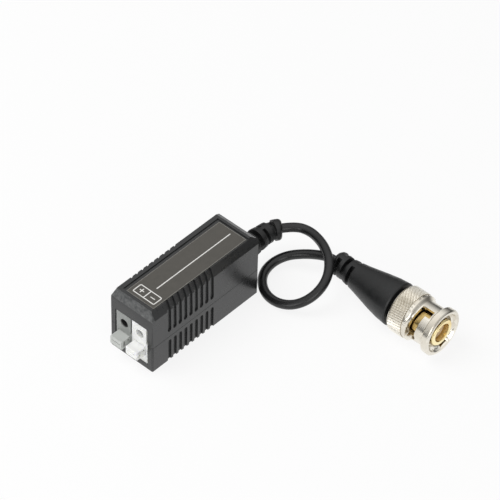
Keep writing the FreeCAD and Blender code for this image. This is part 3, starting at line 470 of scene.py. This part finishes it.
finishes = {
    "black_housing": plastic("black_housing", *HOUSING_TONES, (0.32, 0.26), strength=HOUSING_RELIEF),
    "grey_plastic": plastic("grey_plastic", *GREY_TONES, (0.50, 0.40), 3000, gloss=0.4),
    "white_plastic": plastic("white_plastic", (0.74, 0.745, 0.73), (0.78, 0.785, 0.77), (0.45, 0.36), 3000,
                             gloss=0.3),
    "black_sleeve": plastic("black_sleeve", (0.006, 0.0063, 0.0065), (0.010, 0.0103, 0.0105), (0.46, 0.36),
                            2600, 260, gloss=0.45),
    "cable_jacket": plastic("cable_jacket", (0.006, 0.006, 0.0065), (0.009, 0.009, 0.0095), (0.31, 0.25),
                            7000, 220, 0.000005, 0.03, gloss=0.45),
    "label_film": plastic("label_film", (0.068, 0.064, 0.056), (0.080, 0.075, 0.066), (0.48, 0.40),
                          5000, 500, 0.00001, 0.2, gloss=0.35),
    "dielectric": plastic("dielectric", (0.62, 0.47, 0.30), (0.72, 0.57, 0.40), (0.50, 0.40), 2500, 700),
    "circuit_board": plastic("circuit_board", (0.03, 0.15, 0.06), (0.05, 0.20, 0.08), (0.35, 0.28),
                             1500, 900),
    "ferrite": plastic("ferrite", (0.07, 0.07, 0.07), (0.12, 0.12, 0.12), (0.80, 0.65), 3500, 600,
                       0.00005, 0.6),
    "copper_wire": plastic("copper_wire", (0.36, 0.12, 0.04), (0.50, 0.20, 0.08), (0.28, 0.20), 900, 500,
                           0.00001),
    "green_wire": plastic("green_wire", (0.03, 0.18, 0.08), (0.06, 0.26, 0.12), (0.30, 0.22), 900, 500,
                          0.00001),
    "ceramic": plastic("ceramic", (0.60, 0.57, 0.52), (0.68, 0.65, 0.60), (0.35, 0.25), 1200, 300),
    "capacitor_coat": plastic("capacitor_coat", (0.42, 0.20, 0.05), (0.52, 0.26, 0.07), (0.40, 0.30),
                              1200, 300),
    "resistor_coat": plastic("resistor_coat", (0.16, 0.28, 0.38), (0.22, 0.34, 0.44), (0.40, 0.30),
                             1200, 300),
    "white_insulation": plastic("white_insulation", (0.72, 0.72, 0.70), (0.78, 0.78, 0.76), (0.40, 0.30),
                                1200, 300),
    "nickel": plating("nickel", (0.66, 0.61, 0.52), (0.84, 0.80, 0.71), (0.20, 0.32)),
    "gold": plating("gold", (0.78, 0.58, 0.27), (0.94, 0.80, 0.50), (0.14, 0.26)),
    "spring_steel": plating("spring_steel", (0.50, 0.49, 0.46), (0.66, 0.65, 0.62), (0.22, 0.35)),
    "tinned_contact": plating("tinned_contact", (0.60, 0.60, 0.57), (0.76, 0.76, 0.74), (0.28, 0.42)),
}
white_shader = finishes["white_plastic"].node_tree.nodes["Principled BSDF"]
white_shader.inputs["Subsurface Weight"].default_value = 0.6
white_shader.inputs["Subsurface Radius"].default_value = (1.0, 1.0, 0.9)
white_shader.inputs["Subsurface Scale"].default_value = 1 * MM

# Finishes that only one piece has
SLEEVE_SHADE_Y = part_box("bnc_body")[0].y + 0.5 * MM
BLOCK_SHADE_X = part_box("terminal_body_grey")[0].x + 0.15 * MM
# The upper shell's finish, with painted sheen mottled on the slope above the front face
shell_finish = mottle_front_chamfer_with_painted_sheen(plastic("housing_top", *HOUSING_TONES, (0.32, 0.26),
                                           strength=HOUSING_RELIEF))
# The gold sleeve turns deep brown behind its front ring: painted shade inside the nut's slot
sleeve_finish = paint_shade_behind(plating("sleeve_gold", (0.88, 0.68, 0.32), (0.98, 0.85, 0.50), (0.16, 0.28)),
                              "Y", SLEEVE_SHADE_Y, (0.42, 0.27, 0.07), 0.8)
knurl_finish = grime_and_shade_valleys(plating("knurl_nickel", (0.91, 0.87, 0.78), (0.98, 0.95, 0.88), (0.26, 0.36)))
# The grey block turns near black past its front face: painted shade inside its wire hole
grey_block = paint_shade_behind(plastic("grey_block", *GREY_TONES, (0.50, 0.40), 3000, gloss=0.4),
                           "X", BLOCK_SHADE_X, (0.03, 0.03, 0.03), 1.0, 0.3 * MM)
grey_key = plastic("grey_key", (0.43, 0.445, 0.425), (0.47, 0.485, 0.465), (0.45, 0.36), 3000, gloss=0.4)
white_ink = plastic("white_ink", (0.70, 0.69, 0.66), (0.78, 0.77, 0.74), (0.60, 0.50), 5000, 900, 0.00001)
faint_ink = plastic("faint_ink", (0.24, 0.235, 0.21), (0.30, 0.29, 0.27), (0.60, 0.50), 5000, 900, 0.00001)


# Ways of working

def only(thing):
    """Selects just this object and makes it the active one."""
    bpy.ops.object.select_all(action="DESELECT")
    thing.select_set(True)
    bpy.context.view_layer.objects.active = thing


def apply_all(piece):
    """Applies each of a piece's modifiers, in their order."""
    only(piece)
    for modifier in list(piece.modifiers):
        bpy.ops.object.modifier_apply(modifier=modifier.name)


def pick(piece, kind, test):
    """Opens a piece for editing with just the corners, edges or faces that pass the test selected."""
    only(piece)
    bpy.ops.object.mode_set(mode="EDIT")
    bpy.ops.mesh.select_mode(type=kind)
    bpy.ops.mesh.select_all(action="DESELECT")
    bpy.ops.object.mode_set(mode="OBJECT")
    elements = {"VERT": piece.data.vertices, "EDGE": piece.data.edges, "FACE": piece.data.polygons}[kind]
    for element in elements:
        if kind == "VERT":
            element.select = test(element.co)
        elif kind == "FACE":
            element.select = test(element)
        else:
            ends = [piece.data.vertices[index].co for index in element.vertices]
            element.select = test(*ends)
    bpy.ops.object.mode_set(mode="EDIT")


def close_edit():
    """Goes back from editing a mesh to working with whole objects."""
    bpy.ops.object.mode_set(mode="OBJECT")


def dress(piece, body, slot, material=None, nodes=()):
    """Gives a finished piece its body, its slot and its material."""
    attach(piece, body)
    piece.data.materials.clear()
    piece.data.materials.append(material or finishes[slot])
    if nodes:
        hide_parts(*nodes)
    return piece


# Corners closer than this are one corner, and facets flatter than this to each other are one face
SAME_CORNER = 0.002 * MM
SAME_FACE = math.radians(0.6)


def copy_of(node, name):
    """A copy of a CAD piece with its facets joined."""
    only(frame["nodes"][node])
    bpy.ops.object.duplicate()
    piece = bpy.context.active_object
    piece.name = name
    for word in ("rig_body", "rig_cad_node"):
        if word in piece:
            del piece[word]
    piece.parent = None
    bpy.ops.object.mode_set(mode="EDIT")
    bpy.ops.mesh.select_all(action="SELECT")
    bpy.ops.mesh.remove_doubles(threshold=SAME_CORNER)
    bpy.ops.mesh.select_all(action="SELECT")
    bpy.ops.mesh.dissolve_limited(angle_limit=SAME_FACE)
    bpy.ops.object.mode_set(mode="OBJECT")
    return piece


# Faces that meet below this angle are shaded as one curve
SMOOTH_BELOW = math.radians(38)


def soften(piece, edge, steps=2, sharp=28):
    """Rounds the sharp edges a little and shades the curves smooth."""
    only(piece)
    bpy.ops.object.modifier_add(type="BEVEL")
    rounding = piece.modifiers[-1]
    rounding.width = edge
    rounding.segments = steps
    rounding.limit_method = "ANGLE"
    rounding.angle_limit = math.radians(sharp)
    rounding.use_clamp_overlap = True
    apply_all(piece)
    bpy.ops.object.shade_smooth_by_angle(angle=SMOOTH_BELOW)
    bpy.ops.object.modifier_add(type="WEIGHTED_NORMAL")
    piece.modifiers[-1].keep_sharp = True
    piece.modifiers[-1].weight = 60
    apply_all(piece)
    return piece


def from_cad(node, name, body, slot, edge, steps=2, material=None, sharp=28):
    """A CAD piece, finished: its edges rounded by edge mm, in its body, slot and material."""
    return dress(soften(copy_of(node, name), edge * MM, steps, sharp), body, slot, material, [node])


def give_way(piece, shift):
    """Moves each point of a soft sleeve by as much as the sleeve gives there."""
    for vertex in piece.data.vertices:
        vertex.co += shift(vertex.co)


# Cable, first because it settles the view

# Where the cable runs, in mm; its first two points follow the relief's end
ROUTE = [(39.2, -2.1, 9.9), (42.2, -4.8, 9.3), (43.5, -8.9, 10.3), (42.5, -13.4, 10.7),
         (40.3, -17.8, 11.3), (37.3, -22.0, 11.0), (33.1, -24.6, 8.8), (28.3, -24.4, 6.0),
         (24.3, -21.5, 3.4), (22.4, -17.0, 1.9), (22.5, -12.1, 1.5), (24.8, -7.9, 1.5),
         (28.5, -5.0, 1.6), (33.0, -4.4, 2.2), (37.0, -6.4, 3.5), (39.8, -10.6, 5.0),
         (41.4, -15.0, 6.4), (41.9, -18.2, 7.2), (41.9, -20.5, 7.26)]
# The relief bends the cable on an arc that starts here
BEND_X, BEND_RADIUS, BEND_ANGLE = 33.9 * MM, 8 * MM, math.radians(42)
LEAVE_RISE = 0.12
CABLE_RADIUS = 1.4 * MM


def make_cable():
    """The jacket, as a tube along the route from the end of the relief into the boot."""
    points = [Vector(point) * MM for point in ROUTE]
    exit_point = Vector((BEND_X + BEND_RADIUS * math.sin(BEND_ANGLE),
                         -BEND_RADIUS * (1 - math.cos(BEND_ANGLE)),
                         RELIEF_Z - 0.25 * RELIEF_DROOP))
    leave = Vector((math.cos(BEND_ANGLE), -math.sin(BEND_ANGLE), LEAVE_RISE))
    points[1] = exit_point + leave * (points[1] - exit_point).length
    points[0] = exit_point
    curve = bpy.data.curves.new("cable_line", "CURVE")
    curve.dimensions = "3D"
    spline = curve.splines.new("NURBS")
    spline.points.add(len(points) - 1)
    for knot, point in zip(spline.points, points):
        knot.co = (*point, 1)
        knot.radius = CABLE_RADIUS
    spline.order_u = 3
    spline.use_endpoint_u = True
    spline.resolution_u = 12
    curve.bevel_depth = 1
    curve.bevel_resolution = 8
    curve.use_fill_caps = True
    cable = bpy.data.objects.new("cable_jacket", curve)
    bpy.context.scene.collection.objects.link(cable)
    dress(cable, "body", "cable_jacket", nodes=["cable"])
    return cable, exit_point


cable, cable_exit = make_cable()


# Box and label

from_cad("upper_shell", "upper_case", "body", "black_housing", 0.10, material=shell_finish, sharp=20)
from_cad("lower_shell", "lower_case", "body", "black_housing", 0.10, sharp=20)
from_cad("label", "label_sheet", "body", "label_film", 0.03)


# The film's print, in mm: how high it lies, how thick it is, and the rim's inset and width
PRINT_LIFT, PRINT_THICKNESS = 0.004, 0.012
RIM_INSET, RIM_WIDTH = 0.1, 0.09


def print_plate(name, low, high):
    """A flat printed shape on the label, from its low to its high corner in mm."""
    bpy.ops.object.select_all(action="DESELECT")
    middle = ((low[0] + high[0]) / 2 * MM, (low[1] + high[1]) / 2 * MM, film_high.z + PRINT_LIFT * MM)
    bpy.ops.mesh.primitive_plane_add(size=1, location=middle)
    plate = bpy.context.active_object
    plate.name = name
    plate.scale = ((high[0] - low[0]) * MM, (high[1] - low[1]) * MM, 1)
    bpy.ops.object.transform_apply(location=True, rotation=True, scale=True)
    return plate


def print_frame(name, low, high, corner, width):
    """A thin printed frame on the label: a plate with round corners, its middle taken out."""
    plate = print_plate(name, low, high)
    bpy.ops.object.mode_set(mode="EDIT")
    bpy.ops.mesh.select_all(action="SELECT")
    if corner:
        bpy.ops.mesh.bevel(offset=corner * MM, segments=6, affect="VERTICES")
    bpy.ops.mesh.select_mode(type="FACE")
    bpy.ops.mesh.select_all(action="SELECT")
    bpy.ops.mesh.inset(thickness=width * MM)
    bpy.ops.mesh.delete(type="FACE")
    bpy.ops.object.mode_set(mode="OBJECT")
    return plate


def finish_print(name, pieces, ink):
    """Joins printed shapes and gives them the ink's thickness."""
    bpy.ops.object.select_all(action="DESELECT")
    for piece in pieces:
        piece.select_set(True)
    bpy.context.view_layer.objects.active = pieces[0]
    if len(pieces) > 1:
        bpy.ops.object.join()
    joined = bpy.context.active_object
    joined.name = name
    bpy.ops.object.modifier_add(type="SOLIDIFY")
    joined.modifiers[-1].thickness = PRINT_THICKNESS * MM
    joined.modifiers[-1].offset = 1
    apply_all(joined)
    dress(joined, "body", "label_film", ink)


# The printed lines, in mm: the sign boxes, the signs in them and the rule
LINE = 0.30
SIGN_BOX = ((-16.42, -5.25), (-12.93, 2.85))
SIGN_CORNER = 0.5
SIGN_SPLIT_Y = -1.18
PLUS_AT = (-14.62, 0.90)
PLUS_HALF = 0.80
MINUS_AT = (-14.72, -3.25)
RULE = ((-11.35, -1.68), (18.1, -1.36))


def make_prints():
    """The film's rim, the two sign boxes with their signs, and the long rule."""
    rim_low = (film_low.x / MM + RIM_INSET, film_low.y / MM + RIM_INSET)
    rim_high = (film_high.x / MM - RIM_INSET, film_high.y / MM - RIM_INSET)
    finish_print("label_rim", [print_frame("label_rim", rim_low, rim_high, 0, RIM_WIDTH)], faint_ink)
    half, reach = LINE / 2, PLUS_HALF
    (plus_x, plus_y), (minus_x, minus_y) = PLUS_AT, MINUS_AT
    signs = [
        print_frame("sign_frame", SIGN_BOX[0], SIGN_BOX[1], SIGN_CORNER, LINE),
        print_plate("sign_divider", (SIGN_BOX[0][0] + LINE, SIGN_SPLIT_Y - half),
                    (SIGN_BOX[1][0] - LINE, SIGN_SPLIT_Y + half)),
        print_plate("plus_across", (plus_x - half, plus_y - reach), (plus_x + half, plus_y + reach)),
        print_plate("plus_front", (plus_x - reach, plus_y - half), (plus_x - half, plus_y + half)),
        print_plate("plus_rear", (plus_x + half, plus_y - half), (plus_x + reach, plus_y + half)),
        print_plate("minus", (minus_x - half, minus_y - reach), (minus_x + half, minus_y + reach)),
    ]
    finish_print("polarity_signs", signs, white_ink)
    finish_print("label_rule", [print_plate("label_rule", *RULE)], white_ink)


make_prints()


# Wire terminals

from_cad("terminal_body_grey", "grey_terminal_block", "body", "grey_plastic", 0.12, material=grey_block)
from_cad("terminal_body_white", "white_terminal_block", "body", "white_plastic", 0.12)
from_cad("push_lever_grey", "grey_push_key", "grey_lever", "grey_plastic", 0.16, 3, grey_key)
from_cad("push_lever_white", "white_push_key", "white_lever", "white_plastic", 0.16, 3)


# Sleeves

def droop(point):
    """The relief sinks towards its tail."""
    along = max(0.0, min(1.0, (point.x - shell_high.x) / (relief_high.x - shell_high.x)))
    return Vector((0, 0, -RELIEF_DROOP * along ** 1.3))


def lean(point):
    """The boot's tail is pushed over by the cable."""
    along = max(0.0, min(1.0, (point.y - boot_low.y) / BOOT_LENGTH))
    return Vector((BOOT_LEAN * along ** 1.6, 0, 0))


relief = from_cad("strain_relief", "cable_sleeve", "body", "black_sleeve", 0.32, 3)
give_way(relief, droop)
boot = from_cad("connector_boot", "plug_boot", "body", "black_sleeve", 0.32, 3)
give_way(boot, lean)


# Plug

# The knurled grip, from the nut's rear end forwards, and how high and thick the knurl is
GRIP_START, GRIP_LENGTH = 0.25 * MM, 4.85 * MM
GRIP_END_Y = nut_high.y - 5.3 * MM
KNURL_CELLS = (74, 8)
KNURL_PEAK, KNURL_WALL = 0.27 * MM, 0.12 * MM


def off_axis(point):
    """How far a point is from the plug's axis."""
    return math.hypot(point.x - PLUG_X, point.z - PLUG_Z)


def sink_grip(nut):
    """Turns the nut's grip down, so that the knurl's peaks reach its full radius."""
    pick(nut, "VERT", lambda point: off_axis(point) > NUT_RADIUS - 0.1 * MM and point.y > GRIP_END_Y)
    share = (VALLEY - 0.05 * MM) / NUT_RADIUS
    bpy.ops.transform.resize(value=(share, 1, share), center_override=(PLUG_X, nut_high.y, PLUG_Z))
    close_edit()


def make_knurl():
    """A band of raised diamonds round the grip."""
    around, along = KNURL_CELLS
    first_y = nut_high.y - GRIP_START
    cell = GRIP_LENGTH / along
    bpy.ops.object.select_all(action="DESELECT")
    bpy.ops.mesh.primitive_cylinder_add(vertices=around, radius=VALLEY, depth=GRIP_LENGTH,
                                        location=(PLUG_X, first_y - GRIP_LENGTH / 2, PLUG_Z),
                                        rotation=(math.radians(90), 0, 0), end_fill_type="NOTHING")
    band = bpy.context.active_object
    band.name = "grip_knurl"
    bpy.ops.object.transform_apply(location=True, rotation=True, scale=True)
    pick(band, "EDGE", lambda first, last: abs(first.y - last.y) > GRIP_LENGTH / 2)
    bpy.ops.mesh.subdivide(number_cuts=along - 1)
    bpy.ops.mesh.select_all(action="SELECT")
    bpy.ops.mesh.poke()
    close_edit()

    def row(point):
        """The row of the grid that a point is on, or None for the middle of a cell."""
        value = (first_y - point.y) / cell
        return round(value) if abs(value - round(value)) < 0.1 else None

    def inner_grid(first, last):
        rows = row(first), row(last)
        on_rim = rows[0] == rows[1] and rows[0] in (0, along)
        return None not in rows and not on_rim

    pick(band, "EDGE", inner_grid)
    bpy.ops.mesh.dissolve_edges(use_verts=False)
    close_edit()
    pick(band, "FACE", lambda face: len(face.vertices) == 4)
    bpy.ops.mesh.poke(offset=KNURL_PEAK)
    close_edit()
    only(band)
    bpy.ops.object.modifier_add(type="SOLIDIFY")
    band.modifiers[-1].thickness = KNURL_WALL
    band.modifiers[-1].offset = -1
    apply_all(band)
    bpy.ops.object.shade_flat()
    return dress(band, "nut", "nickel", knurl_finish)


nut = copy_of("coupling_nut", "nut_shell")
sink_grip(nut)
dress(soften(nut, 0.10 * MM, 2, 40), "nut", "nickel", nodes=["coupling_nut"])
knurl = make_knurl()
contact = from_cad("bnc_body", "plug_sleeve", "body", "gold", 0.08, material=sleeve_finish)
# The collar is gold in the model; its black finish is painted shade in the gap between boot and nut
collar = from_cad("rear_collar", "plug_collar", "body", "black_sleeve", 0.10)
tan_core = from_cad("insulator", "plug_insulator", "body", "dielectric", 0.06)
pin = from_cad("centre_pin", "plug_pin", "body", "gold", 0.08)

# The pieces that stay as the CAD made them get their finishes
for node, slot in (("clamp_spring_grey", "spring_steel"), ("clamp_spring_white", "spring_steel"),
                   ("contact_grey", "tinned_contact"), ("contact_white", "tinned_contact"),
                   ("circuit_board", "circuit_board"), ("toroid_core", "ferrite"),
                   ("primary_winding", "copper_wire"), ("secondary_winding", "green_wire"),
                   ("surge_arrestor", "ceramic"), ("filter_capacitor", "capacitor_coat"),
                   ("resistors", "resistor_coat"), ("signal_wire", "white_insulation"),
                   ("shield_wire", "tinned_contact"), ("crimp_ferrule", "nickel"),
                   ("spring_washer", "spring_steel"), ("thrust_washer", "nickel")):
    plain = frame["nodes"][node]
    plain.data.materials.clear()
    plain.data.materials.append(finishes[slot])

bpy.context.view_layer.update()
